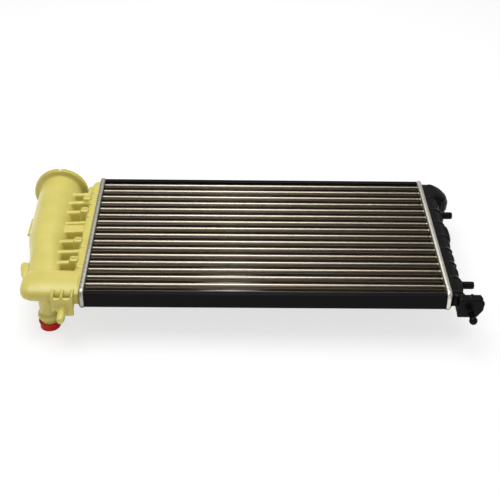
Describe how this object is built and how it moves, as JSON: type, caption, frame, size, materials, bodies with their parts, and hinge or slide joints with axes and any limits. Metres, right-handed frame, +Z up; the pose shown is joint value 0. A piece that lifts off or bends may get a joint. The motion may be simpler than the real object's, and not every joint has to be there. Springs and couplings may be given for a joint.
{
  "type": "car radiator",
  "caption": "Crossflow car radiator: aluminium tube-and-fin core, crimped header plates, natural plastic side tank with header reservoir, black side tank, screw cap, transit cap.",
  "frame": {"origin": "centre of the footprint, at floor height, with the radiator lying flat", "axes": "+X along the tubes towards the black tank, +Y towards the end with the filler cap, +Z up out of the core's front face"},
  "size_m": [0.7074, 0.3872, 0.0919],
  "materials": {
    "tube_aluminium": "drawn, satin",
    "fin_aluminium": "thin rolled sheet, satin",
    "header_aluminium": "pressed sheet, satin",
    "side_plate_black": "black paint, semi-matt",
    "natural_nylon": "moulded, slightly glossy",
    "black_nylon": "moulded, semi-matt",
    "cap_plastic": "moulded, semi-matt",
    "red_plastic": "moulded, glossy",
    "gasket_rubber": "matt"
  },
  "bodies": {
    "radiator": {"tube_front_01": "tube_aluminium", "tube_front_02": "tube_aluminium", "tube_front_03": "tube_aluminium", "tube_front_04": "tube_aluminium", "tube_front_05": "tube_aluminium", "tube_front_06": "tube_aluminium", "tube_front_07": "tube_aluminium", "tube_front_08": "tube_aluminium", "tube_front_09": "tube_aluminium", "tube_front_10": "tube_aluminium", "tube_front_11": "tube_aluminium", "tube_front_12": "tube_aluminium", "tube_front_13": "tube_aluminium", "tube_front_14": "tube_aluminium", "tube_front_15": "tube_aluminium", "tube_front_16": "tube_aluminium", "tube_front_17": "tube_aluminium", "tube_rear_01": "tube_aluminium", "tube_rear_02": "tube_aluminium", "tube_rear_03": "tube_aluminium", "tube_rear_04": "tube_aluminium", "tube_rear_05": "tube_aluminium", "tube_rear_06": "tube_aluminium", "tube_rear_07": "tube_aluminium", "tube_rear_08": "tube_aluminium", "tube_rear_09": "tube_aluminium", "tube_rear_10": "tube_aluminium", "tube_rear_11": "tube_aluminium", "tube_rear_12": "tube_aluminium", "tube_rear_13": "tube_aluminium", "tube_rear_14": "tube_aluminium", "tube_rear_15": "tube_aluminium", "tube_rear_16": "tube_aluminium", "fin_pack": "fin_aluminium", "header_plate_left": "header_aluminium", "header_plate_right": "header_aluminium", "gasket_left": "gasket_rubber", "gasket_right": "gasket_rubber", "side_plate_top": "side_plate_black", "side_plate_bottom": "side_plate_black", "left_tank": "natural_nylon", "filler_neck": "natural_nylon", "right_tank": "black_nylon"},
    "filler_cap": {"filler_cap": "cap_plastic", "cap_seal": "gasket_rubber"},
    "transit_cap": {"transit_cap": "red_plastic"}
  },
  "joints": [
    {"name": "filler_cap_turn", "type": "hinge", "parent": "radiator", "child": "filler_cap", "pos_m": [-0.30775, 0.18895, 0.046], "axis": [0, 1, 0], "range_deg": [0, 90]},
    {"name": "transit_cap_pull", "type": "slide", "parent": "radiator", "child": "transit_cap", "axis": [0, 0, -1], "range_m": [0, 0.025]}
  ]
}
